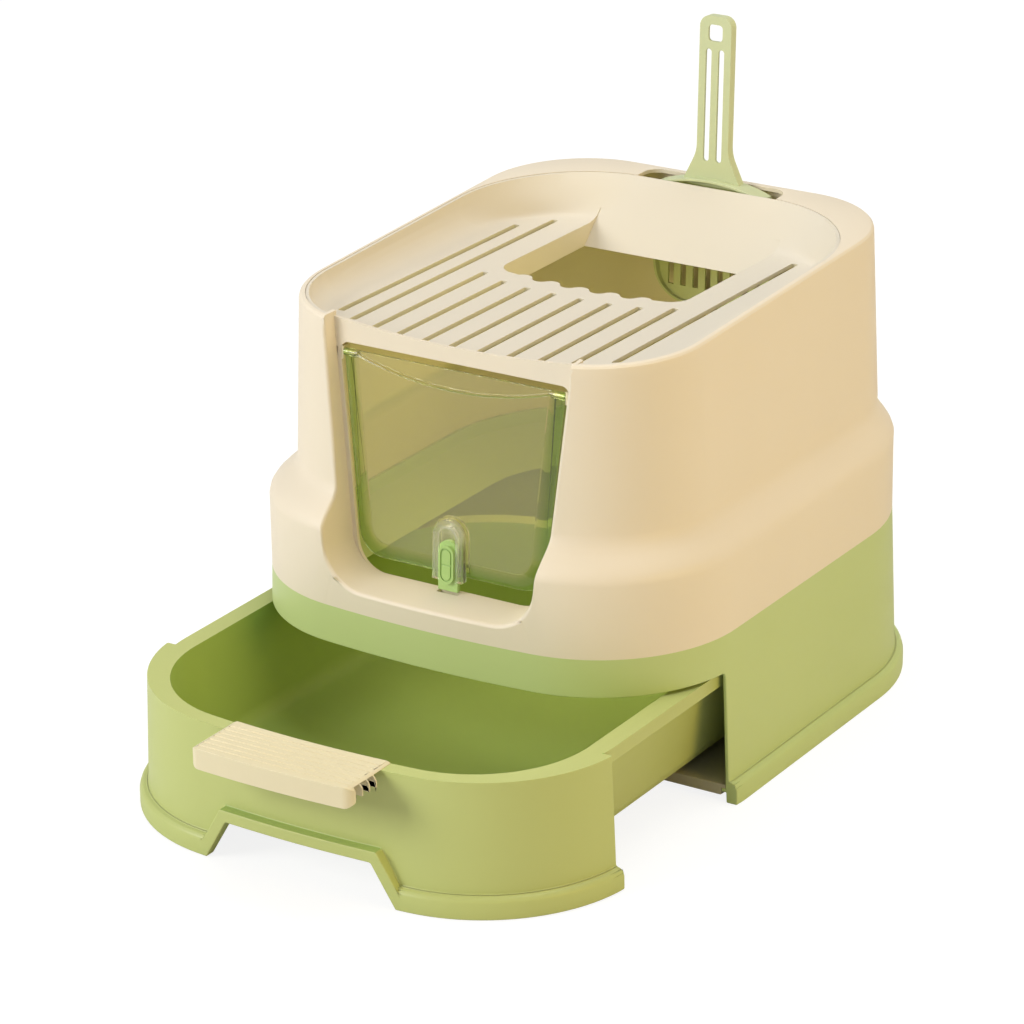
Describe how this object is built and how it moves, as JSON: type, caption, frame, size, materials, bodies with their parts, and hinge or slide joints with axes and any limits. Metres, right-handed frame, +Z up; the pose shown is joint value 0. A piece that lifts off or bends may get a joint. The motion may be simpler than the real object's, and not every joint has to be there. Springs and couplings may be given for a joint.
{
  "type": "drawer litter box",
  "caption": "Covered litter box with a top entry, a clear front flap, a litter drawer that slides out on rails and a scoop that hangs in a slot at the back.",
  "frame": {"origin": "on the floor, below the middle of the whole object's bounding box with its drawer pulled out", "axes": "+Z up, -Y out of the door and the drawer front, +X to the right of someone facing the door"},
  "size_m": [0.422, 0.696, 0.5099],
  "materials": {
    "green_housing": "satin moulded",
    "green_drawer": "satin moulded",
    "grey_floor": "satin moulded",
    "cream_cover": "satin moulded",
    "cream_deck": "satin moulded",
    "cream_trim": "satin moulded",
    "clear_flap": "clear polished",
    "green_latch": "gloss moulded",
    "green_scoop": "satin moulded"
  },
  "bodies": {
    "base": {"base_housing": "green_housing", "base_floor": "grey_floor", "litter_guide": "green_housing"},
    "drawer": {"drawer_tray": "green_drawer", "drawer_handle": "cream_trim"},
    "cover": {"cover_shell": "cream_cover", "top_deck": "cream_deck", "hinge_clip_left": "cream_trim", "hinge_clip_right": "cream_trim"},
    "flap": {"door_flap": "clear_flap", "latch_housing": "clear_flap"},
    "latch": {"latch_slider": "green_latch"},
    "scoop": {"scoop": "green_scoop"}
  },
  "joints": [
    {"name": "drawer_slide", "type": "slide", "parent": "base", "child": "drawer", "axis": [0, -1, 0], "range_m": [-0.163, 0.12]},
    {"name": "cover_lift", "type": "slide", "parent": "base", "child": "cover", "axis": [0, 0, 1], "range_m": [0, 0.15]},
    {"name": "flap_swing", "type": "hinge", "parent": "cover", "child": "flap", "pos_m": [0, -0.09381, 0.32899], "axis": [1, 0, 0], "range_deg": [-75, 75]},
    {"name": "latch_slide", "type": "slide", "parent": "flap", "child": "latch", "axis": [0, 0.0523, 0.9986], "range_m": [-0.006, 0]},
    {"name": "scoop_lift", "type": "slide", "parent": "cover", "child": "scoop", "axis": [0, 0.0523, 0.9986], "range_m": [0, 0.3]}
  ]
}
